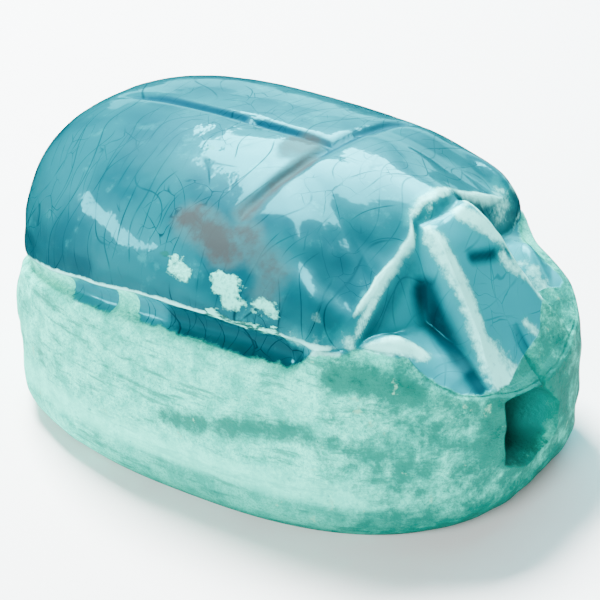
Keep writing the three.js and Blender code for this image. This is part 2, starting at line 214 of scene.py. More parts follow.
# Where the rubbed rim line, the bare ware, the painted light on the head's glaze and the tints of the base
# begin and end, in millimetres
RIM_LINE_LIFT = 0.03
RIM_LINE_HALF = 0.12
RIM_LINE_RANGE = (-5.4, -4.6)
HEAD_ZONE_RANGE = (FACE_Y - 0.5, FACE_Y + 0.1)
BORE_WALL_RANGE = (0.12, 0.5)
BARE_LIFT = 2.0
BARE_UNDER_RIM = 0.02
BARE_FULL_BELOW = 0.1
BARE_GAP_Y = 1.85
BARE_GAP_HALF = 0.32
BARE_GAP_SHARPNESS = 4
BARE_REAR_RANGE = (4.1, 4.5)
STRIP_ABOVE = 0.25
STRIP_BELOW = 0.15
STRIP_FRONT_RANGE = (4.5, -0.5)
GREEN_FRONT_SHARE = 0.5
GREEN_FRONT_RANGE = (-3.5, -7.5)

# Round spots on the surface: strength, centre and half sizes in millimetres
BARE_FRONT_EDGE = (1.1, (0.7, -8.6, 4.4), (1.5, 0.7, 0.7))
BARE_FRONT_CORNER = (1.6, (2.1, -7.9, 5.1), (0.9, 0.8, 0.8))
STAIN_SQUARE = (1.0, (-0.62, -0.72, 9.58), (0.8, 0.52, 1.2))
GREEN_MOUTH = (1.0, (-0.9, -9.0, 3.4), (2.6, 1.6, 1.9))
PIT_UPPER = (1.0, (-2.18, 1.38, 9.57), (0.13, 0.13, 0.5))
PIT_LOWER = (1.0, (-5.53, 0.61, 7.73), (0.13, 0.13, 0.13))

# Long spots: strength, width and the places along the middle of each, in millimetres
# Painted shade along the front part of the band in the leg groove
BAND_SHADE = (1.0, 1.3, ((-5.6, -0.2, 6.1), (-5.62, -1.4, 6.1), (-5.6, -2.6, 6.0), (-5.5, -3.6, 5.9)))
BROKEN_EDGE = (1.0, 0.62, ((-5.97, -1.3, 6.55), (-5.9, -2.3, 6.45), (-5.75, -3.0, 6.45), (-5.5, -3.8, 6.5)))
CHIPS = (
    (0.85, 0.85, ((-5.65, 0.05, 7.55), (-5.66, -0.25, 7.55))),
    (1.0, 0.95, ((-5.6, -1.6, 7.45), (-5.74, -1.95, 7.1))),
    (1.0, 0.8, ((-5.5, -2.85, 7.1), (-5.32, -3.25, 7.02))),
    (0.75, 0.5, ((-5.3, -3.7, 6.75), (-5.1, -4.15, 6.6), (-4.9, -4.65, 6.45))),
)
# Painted shade: the darkest glaze laid into the hollows beside the head and on the slopes turned from the
# light
SHADE_CORNER = (1.0, 1.0, ((-1.75, -5.75, 6.8), (-2.0, -6.45, 5.85), (-2.25, -7.1, 5.45), (-2.5, -8.1, 4.75)))
SHADE_SLOPE = (0.62, 1.0, ((-4.5, -5.25, 6.2), (-3.1, -5.5, 6.9), (-1.9, -5.6, 7.6)))
SHADE_FAR = (1.0, 0.8, ((1.8, -5.9, 6.6), (2.2, -7.1, 5.5)))
SHADE_PLATE = (0.85, 0.55, ((-0.2, -6.4, 7.4), (0.6, -6.55, 7.2), (1.3, -6.7, 7.05)))
SHADE_SLOT = (0.7, 0.3, ((0.1, -7.7, 5.4), (0.18, -8.4, 4.4)))
SHADE_SHOULDER = (0.68, 2.0, ((-4.7, -3.7, 7.2), (-4.0, -3.8, 7.7), (-3.3, -3.9, 8.05), (-2.6, -4.1, 8.3)))
SHADE_LEG = (0.9, 0.35, ((-5.75, -4.0, 6.3), (-5.6, -4.25, 5.6)))
PAINTED_SHADE_PLACES = (SHADE_CORNER, SHADE_SLOPE, SHADE_FAR, SHADE_PLATE, SHADE_SLOT, SHADE_SHOULDER, SHADE_LEG)
PALE_PLATE_RIDGE = (
    (1.0, 0.85, ((-1.05, -5.6, 8.15), (-1.2, -6.3, 7.56), (-1.3, -7.0, 6.7), (-1.6, -7.7, 5.6),
                 (-1.9, -8.4, 4.6))),
    (1.0, 1.1, ((-1.5, -7.8, 5.4), (-1.5, -8.4, 4.6))),
    (0.75, 1.1, ((-1.3, -7.8, 5.3), (-1.0, -8.3, 4.65))),
)
PALE_FACE_RIDGES = (
    (1.0, 0.44, ((-0.4, -5.15, 8.75), (-1.1, -5.38, 8.45), (-2.06, -5.36, 8.06), (-3.0, -5.28, 7.52),
                 (-4.64, -5.14, 6.3))),
    (1.0, 0.55, ((-1.35, -5.4, 8.35), (-2.0, -5.36, 8.08))),
    (1.0, 0.55, ((-1.3, -4.95, 8.75), (-0.5, -4.88, 8.95), (0.3, -4.9, 8.9), (1.2, -5.0, 8.75),
                 (2.9, -4.95, 8.1))),
    (0.95, 0.75, ((-5.4, -3.9, 6.45), (-5.0, -4.6, 6.4), (-4.7, -5.1, 6.3))),
)
PALE_CHEEKS = (
    (1.0, 0.85, ((-4.6, -5.75, 6.15), (-3.9, -6.25, 6.2), (-3.4, -6.8, 5.9))),
    (0.8, 0.7, ((1.0, -6.75, 6.95), (1.4, -7.1, 6.5), (2.5, -7.5, 5.3))),
    (1.0, 0.85, ((0.5, -5.6, 8.35), (0.9, -6.0, 7.95), (1.27, -6.4, 7.5))),
    (0.72, 1.5, ((4.3, -4.6, 6.9), (3.4, -5.5, 6.9))),
    (0.72, 1.1, ((2.7, -6.45, 5.9), (2.55, -7.2, 5.5), (2.0, -7.6, 5.4))),
)
PALE_FRONT = (
    (0.9, 0.6, ((-1.9, -8.35, 4.55), (-1.3, -8.55, 4.35), (0.0, -8.65, 4.3), (0.8, -8.3, 4.8))),
    (0.8, 0.6, ((0.6, -7.8, 5.3), (0.9, -8.2, 4.75))),
)
PALE_PLACES = PALE_PLATE_RIDGE + PALE_FACE_RIDGES + PALE_CHEEKS + PALE_FRONT
STAINS = (
    (1.0, 0.75, ((-1.0, -1.25, 9.42), (-1.9, -1.27, 9.25), (-2.9, -1.25, 9.0), (-4.0, -1.15, 8.75))),
    (1.0, 1.15, ((-4.65, 0.2, 8.55), (-4.8, -0.6, 8.4), (-5.0, -1.35, 8.08))),
    (0.85, 1.1, ((-4.4, -1.5, 8.4), (-4.7, -2.2, 8.0), (-4.8, -2.8, 7.7), (-5.2, -2.8, 7.3))),
)
GREEN_PLACES = (
    (1.0, 1.1, ((-5.3, -5.1, 5.45), (-4.8, -6.0, 5.3), (-4.2, -6.95, 4.95))),
    (0.75, 0.75, ((-6.3, -0.1, 2.95), (-6.2, -2.5, 3.4), (-5.9, -4.0, 3.65), (-5.0, -6.4, 3.25),
                  (-2.8, -8.4, 2.9))),
)

# Linear colours of the finish
GLAZE = (0.0, 0.080, 0.100)
GLAZE_DARK = (0.0, 0.046, 0.064)
# Painted shade for the hollows and shaded slopes of the head and shoulders
GLAZE_PAINTED_SHADE = (0.0, 0.024, 0.036)
# Painted light: a lighter copy of the glaze for the head, standing in for light on its front-facing plate
GLAZE_HEAD_PAINTED_LIGHT = (0.0, 0.22, 0.265)
GLAZE_THIN = (0.0, 0.24, 0.26)
GLAZE_BARE = (0.22, 0.92, 0.84)
GLAZE_LINE = (0.0, 0.022, 0.045)
CRACK = (0.0, 0.006, 0.014)
STAIN = (0.034, 0.028, 0.027)
STAIN_LIGHT = (0.030, 0.085, 0.095)
CREAM = (0.10, 0.72, 0.58)
CHIP_ROUGH = (0.003, 0.065, 0.058)
# Painted light and shade for the band in the leg groove: a lighter glaze standing in for light the groove
# does not get, then a darker one as painted shade
BAND_PAINTED_LIGHT = (0.0, 0.15, 0.185)
BAND_DARK = (0.0, 0.045, 0.06)
BASE_MINT = (0.0, 0.48, 0.36)
BASE_PALE = (0.05, 0.88, 0.66)
BASE_CREAM = (0.13, 0.50, 0.33)
BASE_TEAL = (0.0, 0.135, 0.103)
BASE_GREEN = (0.0, 0.055, 0.043)
BORE_GREEN = (0.0, 0.15, 0.125)

# Noise patterns, per millimetre: scale, detail and roughness
GRAIN_NOISE = (2.4, 5.0, 0.65)
FINE_NOISE = (9.0, 4.0, 0.65)
TONE_NOISE = (0.4, 3.0, 0.55)
THIN_NOISE = (1.3, 5.0, 0.65)
SPECKLE_NOISE = (4.0, 5.0, 0.7)
STAIN_NOISE = (1.6, 6.0, 0.7)
CHIP_NOISE = (2.6, 5.0, 0.62)
BROKEN_NOISE = (2.8, 5.0, 0.65)
MOTTLE_NOISE = (1.5, 6.0, 0.72)
BASE_GRAIN_NOISE = (13.0, 6.0, 0.95)
STREAK_NOISE = (1.9, 7.0, 0.75)
CLOUD_NOISE = (1.6, 7.0, 0.75)
BLOTCH_NOISE = (1.6, 4.0, 0.6)
FLECK_NOISE = (5.0, 3.0, 0.65)
SWELL_NOISE = (1.4, 3.0, 0.5)
CRACK_BEND_NOISE = (0.22, 1.0, 0.4)
CRACK_SHOWN_NOISE = (0.6, 2.0, 0.5)
CRACK_SWAY_NOISE = (0.7, 2.0, 0.55)
CRACK_NET_NOISE = (0.55, 2.0, 0.5)

# Where a pattern is stretched or shifted: factors along the axes, then the shift
EVEN = (1.0, 1.0, 1.0)
CHIP_PLACE = ((1.0, 0.8, 1.3), (2.0, 5.0, 3.0))
BROKEN_PLACE = ((1.0, 0.7, 2.0), (4.0, 1.0, 6.0))
STREAK_PLACE = ((0.8, 0.25, 1.9), (0.0, 0.0, 0.0))
BLOTCH_PLACE = (EVEN, (8.0, 3.0, 1.0))
CRACK_NET_PLACE = (EVEN, (7.0, 2.0, 4.0))

# Masks from a field, frayed by a pattern: how far the pattern shifts the edge, then the mask's range
GLAZED_FRAY = (0.25, -0.03, 0.05)
WORN_FRAY = (0.16, 0.10, 0.22)
FILM_FRAY = (0.6, 0.1, 0.6)
STAIN_FRAY = (1.6, 0.35, 0.95)
SHADE_FRAY = (0.5, 0.2, 0.6)
PAINTED_SHADE_FRAY = (0.2, 0.08, 0.95)
LINE_FRAY = (0.3, 0.1, 0.9)
RIM_FRAY = (1.6, 0.4, 0.85)
HALO_FRAY = (0.9, 0.08, 0.8)
PALE_FRAY = (1.1, 0.45, 0.95)
CREAM_FRAY = (1.7, 0.5, 0.72)
BROKEN_FRAY = (2.2, 0.6, 0.75)

# Ranges of patterns and fields for the other masks
TONE_RANGE = (0.36, 0.64)
THIN_RANGE = (0.56, 0.74)
BAND_RANGE = (-0.02, -0.14)
CREAM_RANGE = (0.45, 0.7)
BROKEN_RANGE = (0.5, 0.6)
PIT_RANGE = (0.4, 0.6)
MOTTLE_RANGE = (0.36, 0.64)
BASE_GRAIN_RANGE = (0.45, 0.6)
STREAK_RANGE = (0.5, 0.64)
SHELF_LIGHT_RANGE = (1.2, 1.5)
SHELF_LIGHT_TOP_RANGE = (2.5, 1.9)
GREEN_RANGE = (0.05, 0.7)
GREEN_DARK_RANGE = (0.75, 1.3)
BLOTCH_RANGE = (0.66, 0.74)
FLECK_RANGE = (0.66, 0.75)
CRACK_SHOWN_RANGE = (0.42, 0.58)
CRACK_NET_RANGE = (0.5, 0.62)

# How strongly each layer of colour covers what is under it
THIN_SHARE = 0.35
LINE_SHARE = 0.85
CRACK_SHARE = 0.85
CRACK_HEAD_SHARE = 0.45
RIM_SHARE = 0.7
HALO_SHARE = 0.75
PALE_SHARE = 0.95
FILM_SHARE = 0.6
STAIN_SHARE = 0.8
CREAM_SHADE_SHARE = 0.5
BASE_GRAIN_SHARE = 0.55
STREAK_SHARE = 0.7
SHELF_LIGHT_SHARE = 0.5
STRIP_SHARE = 0.5
CLOUD_SPREAD = 2.0
GREEN_SHARE = 0.95
GREEN_DARK_SHARE = 0.75
BLOTCH_SHARE = 0.8
FLECK_SHARE = 0.6

# Cracks: how many to the millimetre, how far they sway, where their pattern starts, and their width
LONG_CRACKS = (1.15, 7.0, (3.0, 1.0, 5.0), 0.042)
SPARSE_CRACKS = (0.8, 9.0, (9.0, 4.0, 2.0), 0.03)
FAINT_CRACKS = (1.6, 6.0, (1.0, 8.0, 7.0), 0.05)
FAINT_CRACK_SHARE = 0.7
CRACK_NET_SCALE = 1.25
CRACK_NET_SWAY = (1.2, 1.2, 1.2)
CRACK_NET_WIDTH = 0.024

# Gloss and bumps of the finish
MATT_ROUGHNESS = 0.65
GLAZE_ROUGHNESS = 0.35
SPECULAR_LEVEL = 0.08
COAT_ROUGHNESS = 0.05
COAT_IOR = 1.2
WORN_GLOSS_LOSS = 0.6
FILM_GLOSS_LOSS = 0.8
CRACK_GLOSS_LOSS = 0.9
LINE_GLOSS_LOSS = 0.75
GLAZE_BUMP_SHARE = 0.04
BUMP_STRENGTH = 0.8
BUMP_HEIGHT = 0.08
SWELL_STRENGTH = 0.35
SWELL_HEIGHT = 0.05

# Floor
FLOOR_REACH = 60.0 * LENGTH
FLOOR_WHITE = (0.95, 0.95, 0.95, 1.0)
FLOOR_ROUGHNESS = 0.8

# Camera: where it looks from, the point it looks at and how large it sees the amulet
VIEW_AZIMUTH = math.radians(-55.5)
VIEW_ELEVATION = math.radians(28.0)
VIEW_DISTANCE = 77.97
VIEW_SHIFT_RIGHT = 0.231
VIEW_SHIFT_UP = 0.882
VIEW_CENTRE_HEIGHT = 3.0
PIXELS_PER_MM = 32.509
PICTURE_PIXELS = 600.0
SENSOR = 36.0

# Lamps and boxes of light: azimuth and elevation in degrees, distance, width and height in mm, radiance
KEY_LAMP = (66.0, 60.0, 120.0, 42.0, 42.0, 215.0)
FILL_LAMP = (-165.0, 26.0, 160.0, 90.0, 90.0, 17.0)
FAR_BOX = (12.0, 57.0, 120.0, 102.0, 94.0, 85.0)
FAR_LOW_BOX = (15.0, 13.0, 150.0, 200.0, 40.0, 5.0)
REAR_BOX = (122.0, 30.0, 120.0, 44.0, 26.0, 95.0)
REAR_LOW_BOX = (150.0, 6.0, 150.0, 180.0, 46.0, 5.0)
BOX_TINT = (0.08, 0.88, 1.0)
SKY_WHITE = (1.0, 1.0, 1.0, 1.0)
SKY_STRENGTH = 0.2


def ease(start, end, value):
    t = np.clip((value - start) / (end - start), 0.0, 1.0)
    return t * t * (3.0 - 2.0 * t)


def mix(a, b, share):
    return a + (b - a) * share


def soft_max(a, b, reach):
    """The larger of two heights, with the corner between them rounded over the reach."""
    share = np.clip(0.5 + 0.5 * (a - b) / reach, 0.0, 1.0)
    return mix(b, a, share) + reach * share * (1.0 - share)


def soft_min(a, b, reach):
    return -soft_max(-a, -b, reach)


def ripple(points, wavelength, seed):
    """Smooth seeded waviness from -1 to 1 or so, as a sum of plane waves."""
    rng = np.random.default_rng(seed)
    total = np.zeros(points.shape[:-1])
    for _ in range(WAVES_SUMMED):
        direction = rng.normal(size=3)
        length = wavelength * np.linalg.norm(direction) * rng.uniform(*WAVELENGTH_SPREAD)
        direction *= 2.0 * math.pi / length
        total += np.sin(points @ direction + rng.uniform(0.0, 2.0 * math.pi))
    return total / math.sqrt(WAVES_SUMMED)


def waves(points, height, wavelength, seed):
    return height * ripple(points, wavelength, seed)


def outline(angle):
    """Plan outline: a superellipse, a little squarer at the rear."""
    c, s = np.cos(angle), np.sin(angle)
    power = 2.0 / mix(FRONT_SQUARENESS, REAR_SQUARENESS, ease(-SQUARENESS_BLEND, SQUARENESS_BLEND, s))
    return HALF_WIDTH * np.sign(c) * np.abs(c) ** power, HALF_LENGTH * np.sign(s) * np.abs(s) ** power


def inset(x, y, by):
    return x * (HALF_WIDTH - by) / HALF_WIDTH, y * (HALF_LENGTH - by) / HALF_LENGTH


def edge_inset(y):
    """The beetle's edge stands in from the base plate, most of all beside the cheeks."""
    cheek = ease(*CHEEK_INSET_RANGE, y) * (1.0 - ease(*CHEEK_INSET_REAR_RANGE, y))
    along = mix(EDGE_INSET_FRONT, EDGE_INSET_SIDE, ease(*SIDE_INSET_RANGE, y))
    return mix(along, EDGE_INSET_CHEEK, cheek)


def cheek_height(x, y):
    side = np.abs(x)
    lump_x = np.where(x < 0.0, CHEEK_LUMP_NEAR[0], CHEEK_LUMP_FAR[0])
    lump_y = np.where(x < 0.0, CHEEK_LUMP_NEAR[1], CHEEK_LUMP_FAR[1])
    across = (side - lump_x) / CHEEK_LUMP_WIDTH
    lengthwise = (y - lump_y + CHEEK_LUMP_TURN * (lump_x - side)) / CHEEK_LUMP_LENGTH
    rise = CHEEK_RISE * (1.0 - ease(*CHEEK_RISE_RANGE, side))
    lump = CHEEK_LUMP * np.exp(-across * across - lengthwise * lengthwise)
    return np.interp(y, CHEEK_FLOOR_Y, CHEEK_FLOOR) + rise + lump


def head_height(x, y):
    """Height of everything in front of the fore body: plate, walls, cheeks and cut face."""
    side = np.abs(x)
    half = np.interp(y, HEAD_HALF_Y, HEAD_HALF)
    crest = np.interp(y, HEAD_TOP_Y, HEAD_TOP)
    step = FACE_STEP * ease(*FACE_STEP_RANGE, x)
    face = FACE_TOP - FACE_FALL * side - FACE_SLOPE * (FACE_Y - step - y)
    slot = np.maximum(0.0, 1.0 - side / CLYPEUS_SLOT_HALF)
    slot = slot * ease(*CLYPEUS_SLOT_RANGE, y)
    t = side / half
    plate = crest - HEAD_DISH * (1.0 - t * t) - CLYPEUS_SLOT_DEPTH * slot
    wall = crest - HEAD_WALL_SLOPE * (side - half)
    floor = soft_max(wall, cheek_height(x, y), RIDGE_ROUNDING)
    return soft_max(face, np.where(t < 1.0, plate, floor), RIDGE_ROUNDING)


def rim_height(x, y):
    body = RIM_HEIGHT - RIM_FALL * y - RIM_BEND * y * y
    return np.where(y < FACE_Y, np.minimum(body, head_height(x, y) + EDGE_ROLL), body)


def shoulder_drop(x, y):
    """The sides of the fore body fall away towards the cut face."""
    side = np.abs(x)
    across = ease(*SHOULDER_INNER_RANGE, side) * (1.0 - ease(*SHOULDER_OUTER_RANGE, side))
    return SHOULDER_DROP * ease(*SHOULDER_FRONT_RANGE, y) * across


def dome_height(x, y, share, angle, rim):
    s = np.sin(angle)
    rear = np.maximum(s, 0.0) ** 2
    front = np.maximum(-s, 0.0) ** 2
    power = DOME_POWER + REAR_POWER * rear + FRONT_POWER * front
    roundness = DOME_ROUNDNESS + REAR_ROUNDNESS * rear
    foot = mix(DOME_FOOT, rim, share ** DOME_FOOT_POWER)
    crown = CROWN_HEIGHT + CROWN_RISE * (y - CROWN_Y) - CROWN_BEND * (y - CROWN_Y) ** 2
    full = np.maximum(0.0, 1.0 - share ** power) ** (1.0 / roundness)
    return foot + (crown - foot) * full - shoulder_drop(x, y) * (1.0 - share ** SHOULDER_FADE_POWER)


def side_stations(angle, x, y, edge):
    """Points of the side from the underside up to the rim, one column for each angle."""
    front = np.maximum(-np.sin(angle), 0.0) ** 2
    reach = ease(*GROOVE_START_RANGE, y)
    rim_inset = edge_inset(y)
    gap = mix(EDGE_ROLL, GROOVE_HEIGHT, reach) - GROOVE_REAR_LOSS * ease(*GROOVE_HEIGHT_RANGE, y)
    depth = GROOVE_DEPTH * reach * (1.0 - GROOVE_REAR_DEPTH_LOSS * ease(*GROOVE_DEPTH_RANGE, y))
    ledge = edge - gap
    lip = mix(FRONT_LIP_SHARE * rim_inset, PLATE_LIP, reach)
    foot = FOOT_INSET + FOOT_INSET_FRONT * front
    flat = np.zeros_like(y)
    profile = [(share * foot, flat + rise * FOOT_ROUND_HEIGHT) for share, rise in FOOT_PROFILE]
    profile.append((flat + WIDEST_LOW_INSET, flat + WIDEST_LOW))
    profile.append((flat, flat + WIDEST_HIGH))
    turn = np.minimum(ledge - PLATE_TURN_DROP, mix(WIDEST_HIGH, ledge, PLATE_TURN_SHARE))
    profile.append((PLATE_TURN_SHARE * lip, turn))
    profile.append((lip, ledge))
    for share, rise in GROOVE_PROFILE:
        profile.append((rim_inset + share * depth, ledge + rise * gap))
    profile.append((rim_inset, edge))
    rows = [np.stack([*inset(x, y, by), z], axis=-1) for by, z in profile]
    return np.stack(rows), ledge


def resample(rows, count):
    """The same stretch of skin with its rings spread evenly along the profile."""
    steps = np.linalg.norm(np.diff(rows, axis=0), axis=-1).mean(axis=1)
    along = np.concatenate([[0.0], np.cumsum(steps)])
    wanted = np.linspace(0.0, along[-1], count)
    upper = np.clip(np.searchsorted(along, wanted), 1, len(along) - 1)
    share = (wanted - along[upper - 1]) / (along[upper] - along[upper - 1])
    return mix(rows[upper - 1], rows[upper], share[:, None, None])


def soften(rows, passes):
    """Rounds the corners of the profile, each ring moving half way to the mean of its neighbours."""
    for _ in range(passes):
        neighbours = (rows[:-2] + rows[2:]) / 2
        rows = np.concatenate([rows[:1], (rows[1:-1] + neighbours) / 2, rows[-1:]])
    return rows


def grid_normals(rows):
    around = np.roll(rows, -1, axis=1) - np.roll(rows, 1, axis=1)
    upward = np.gradient(rows, axis=0)
    normal = np.cross(around, upward)
    return normal / np.maximum(np.linalg.norm(normal, axis=-1, keepdims=True), TINY)


def skin():
    """The whole outer surface as rings of points, with the ledge and edge heights of each column."""
    turn = np.linspace(0.0, 2.0 * math.pi, COLUMNS, endpoint=False)
    angle = turn - FRONT_CROWDING * np.cos(turn)
    x, y = outline(angle)
    rim_x, rim_y = inset(x, y, edge_inset(y))
    edge = rim_height(rim_x, rim_y)
    stations, ledge = side_stations(angle, x, y, edge)
    side = resample(stations, SIDE_RINGS)
    shares = np.sin(np.arange(DOME_RINGS - 1, 0, -1) / DOME_RINGS * math.pi / 2) ** DOME_CROWDING
    share = shares[:, None]
    dome_x = share * rim_x
    dome_y = CROWN_Y + share * (rim_y - CROWN_Y)
    dome = np.stack([dome_x, dome_y, dome_height(dome_x, dome_y, share, angle, edge)], axis=-1)
    upper = np.concatenate([side, dome])
    cut = soft_min(upper[..., 2], head_height(upper[..., 0], upper[..., 1]), RIDGE_ROUNDING)
    upper[..., 2] = np.where(upper[..., 1] < FACE_Y + FACE_MARGIN, np.maximum(cut, 0.0), upper[..., 2])
    upper = soften(upper, SOFTEN_PASSES)
    inner = np.linspace(0.0, 1.0, BOTTOM_RINGS + 1)[1:, None, None] * upper[:1]
    return np.concatenate([inner[:-1], upper]), ledge, edge


def back_lines(x, y, half_width, sharpness, rear_fade, start_range):
    """The two incised lines, 1 in the middle of a line: one lengthwise, one across in front of it."""
    t = (y - CROSS_LINE_Y) / (SUTURE_REAR - CROSS_LINE_Y)
    suture = np.exp(-((x - SUTURE_X * t) / half_width) ** sharpness)
    suture = suture * (1.0 - ease(SUTURE_REAR - rear_fade, SUTURE_REAR, y)) * ease(*start_range, y)
    cross = np.exp(-((y - CROSS_LINE_Y - CROSS_LINE_SKEW * x) / half_width) ** sharpness)
    cross = cross * (1.0 - ease(CROSS_LINE_REACH - LINE_FADE, CROSS_LINE_REACH, np.abs(x)))
    return np.maximum(suture, cross)


def carve(rows, ledge):
    """Adds the lines, the hand-made waviness and the shelf along the surface normals."""
    normal = grid_normals(rows)
    x, y, z = rows[..., 0], rows[..., 1], rows[..., 2]
    top = ease(*LINE_TOP_RANGE, z - ledge) * ease(*LINE_TILT_RANGE, normal[..., 2])
    standing = ease(*WAVES_FOOT_RANGE, z)
    lines = back_lines(x, y, LINE_WIDTH / 2, LINE_SHARPNESS, LINE_FADE, SUTURE_START_RANGE)
    relief = -LINE_DEPTH * lines * top
    for height, back_height, wavelength, seed in (BROAD_WAVES, SHORT_WAVES):
        relief = relief + waves(rows, mix(height, back_height, top), wavelength, seed) * standing
    shelf = SHELF_HEIGHT + waves(rows, *SHELF_WAVES)
    below = ease(shelf + SHELF_ABOVE, shelf - SHELF_BELOW, z)
    relief = relief + SHELF_DEPTH * below * ease(*SHELF_FOOT_RANGE, z)
    return rows + normal * relief[..., None]


def convexity(rows):
    """How far each point stands proud of its neighbours a few steps away, in millimetres."""
    normal = grid_normals(rows)
    reach = CONVEXITY_REACH
    across = (np.roll(rows, reach, axis=1) + np.roll(rows, -reach, axis=1)) / 2
    padded = np.concatenate([np.repeat(rows[:1], reach, axis=0), rows, np.repeat(rows[-1:], reach, axis=0)])
    upward = (padded[: -2 * reach] + padded[2 * reach:]) / 2
    return np.sum((2.0 * rows - across - upward) * normal, axis=-1)


def mesh_object(name, points, faces):
    mesh = bpy.data.meshes.new(name)
    mesh.from_pydata([tuple(p) for p in points * MM], [], faces)
    mesh.validate()
    made = bpy.data.objects.new(name, mesh)
    bpy.context.collection.objects.link(made)
    return made


def ring_faces(rings, count, last):
    """Faces between rings of equal count, closed by a fan at each end. Point 0 is the start."""
    faces = []
    for i in range(count):
        j = (i + 1) % count
        faces.append((0, 1 + j, 1 + i))
        for r in range(rings - 1):
            low = 1 + r * count
            high = low + count
            faces.append((low + i, low + j, high + j, high + i))
        top = 1 + (rings - 1) * count
        faces.append((top + i, top + j, last))
    return faces


def closed_skin(name, rows, start, end):
    rings, count, _ = rows.shape
    points = np.concatenate([[start], rows.reshape(-1, 3), [end]])
    return mesh_object(name, points, ring_faces(rings, count, len(points) - 1))


def smooth_loop(corners, count, straightness):
    """Closed curve through the corners, from rounded at 0 to straight sides at 1."""
    corners = np.array(corners)
    spans = len(corners)
    at = np.arange(count) * spans / count
    k = at.astype(int)
    t = (at - k)[:, None]
    before, here = corners[(k - 1) % spans], corners[k % spans]
    after, beyond = corners[(k + 1) % spans], corners[(k + 2) % spans]
    bend = 2.0 * before - 5.0 * here + 4.0 * after - beyond
    twist = 3.0 * here - before - 3.0 * after + beyond
    curve = (2.0 * here + (after - before) * t + bend * t ** 2 + twist * t ** 3) / 2
    return mix(curve, mix(here, after, t), straightness)


def bore_stations(reach):
    """Stations along the bore: y, how much of the rough mouth is left there, centre x and radius."""
    mouth_start = -HALF_LENGTH + MOUTH_RIM
    mouth_end = -HALF_LENGTH + MOUTH_DEPTH
    stations = [(y, 1.0, BORE_FRONT_X, BORE_RADIUS) for y in (-reach, mouth_start)]
    for y in np.linspace(-HALF_LENGTH + MOUTH_FIRST_STEP, mouth_end, MOUTH_STEPS):
        stations.append((y, 1.0 - ease(mouth_start, mouth_end, y), BORE_FRONT_X, BORE_RADIUS))
    for share in np.linspace(BORE_FIRST_STEP, 1.0, BORE_STEPS):
        y = mix(mouth_end, HALF_LENGTH - MOUTH_DEPTH, share)
        stations.append((y, 0.0, mix(BORE_FRONT_X, BORE_REAR_X, share), BORE_RADIUS))
    for y in (HALF_LENGTH - REAR_MOUTH_DEPTH, reach):
        stations.append((y, 0.0, BORE_REAR_X, REAR_MOUTH_RADIUS))
    return stations


def bore_cutter():
    mouth = smooth_loop(MOUTH, BORE_SIDES, MOUTH_STRAIGHTNESS)
    angle = np.arctan2(mouth[:, 1] - BORE_HEIGHT, mouth[:, 0] - BORE_FRONT_X)
    reach = HALF_LENGTH + CUTTER_OVERHANG
    rows = []
    for y, flare, centre, radius in bore_stations(reach):
        x = mix(centre + radius * np.cos(angle), mouth[:, 0], flare)
        z = mix(BORE_HEIGHT + radius * np.sin(angle), mouth[:, 1], flare)
        ring = np.stack([x, np.full_like(x, y), z], axis=-1)
        outward = ring - np.array([centre, y, BORE_HEIGHT])
        outward = outward / np.linalg.norm(outward, axis=-1, keepdims=True)
        rows.append(ring + outward * waves(ring, *BORE_WAVES)[:, None])
    start = (BORE_FRONT_X, -reach, BORE_HEIGHT)
    end = (BORE_REAR_X, reach, BORE_HEIGHT)
    return closed_skin("bore_cutter", np.stack(rows), start, end)


def cut_bore(body):
    cutter = bore_cutter()
    for made in (body, cutter):
        fix_winding(made)
    modifier = body.modifiers.new("bore", "BOOLEAN")
    modifier.operation = "DIFFERENCE"
    modifier.solver = "MANIFOLD"
    modifier.object = cutter
    graph = bpy.context.evaluated_depsgraph_get()
    cut = bpy.data.meshes.new_from_object(body.evaluated_get(graph))
    body.modifiers.clear()
    body.data = cut
    bpy.data.objects.remove(cutter)


def fix_winding(made):
    """Turns the faces outwards where the closed mesh came out inside out."""
    mesh = made.data
    corners = np.empty(len(mesh.vertices) * 3)
    mesh.vertices.foreach_get("co", corners)
    corners = corners.reshape(-1, 3)
    mesh.calc_loop_triangles()
    triangles = np.empty(len(mesh.loop_triangles) * 3, dtype=int)
    mesh.loop_triangles.foreach_get("vertices", triangles)
    a, b, c = (corners[triangles.reshape(-1, 3)[:, k]] for k in range(3))
    if np.sum(a * np.cross(b, c)) < 0.0:
        mesh.flip_normals()


def round_spot(points, strength, centre, size):
    """Soft mask, full at the centre and half where the ellipsoid of the given half sizes ends."""
    gap = (points - np.array(centre)) / np.array(size)
    return strength / (1.0 + np.sum(gap * gap, axis=-1) ** 2)


def long_spot(points, strength, width, path):
    """Soft mask along a line through the given places, down to about 0.4 at the half width."""
    nearest = np.full(points.shape[:-1], np.inf)
    for a, b in zip(path[:-1], path[1:]):
        a, b = np.array(a), np.array(b)
        run = b - a
        share = np.clip((points - a) @ run / (run @ run), 0.0, 1.0)
        gap = points - (a + share[..., None] * run)
        nearest = np.minimum(nearest, np.sum(gap * gap, axis=-1))
    return strength * np.exp(-nearest / (width / 2) ** 2)


def long_spots(points, spots):
    return np.maximum.reduce([long_spot(points, *spot) for spot in spots])


def bare_front(points):
    """How much higher the unglazed base reaches at the front of the head, in millimetres."""
    return round_spot(points, *BARE_FRONT_EDGE) + round_spot(points, *BARE_FRONT_CORNER)


def bare_groove(points, edge):
    """Unglazed stretches of the leg groove: its rear and one short gap, 2 mm or more where bare."""
    y = points[..., 1]
    below = ease(edge + BARE_UNDER_RIM, edge - BARE_FULL_BELOW, points[..., 2])
    gap = np.exp(-((y - BARE_GAP_Y) / BARE_GAP_HALF) ** BARE_GAP_SHARPNESS)
    return BARE_LIFT * below * np.maximum(gap, ease(*BARE_REAR_RANGE, y))


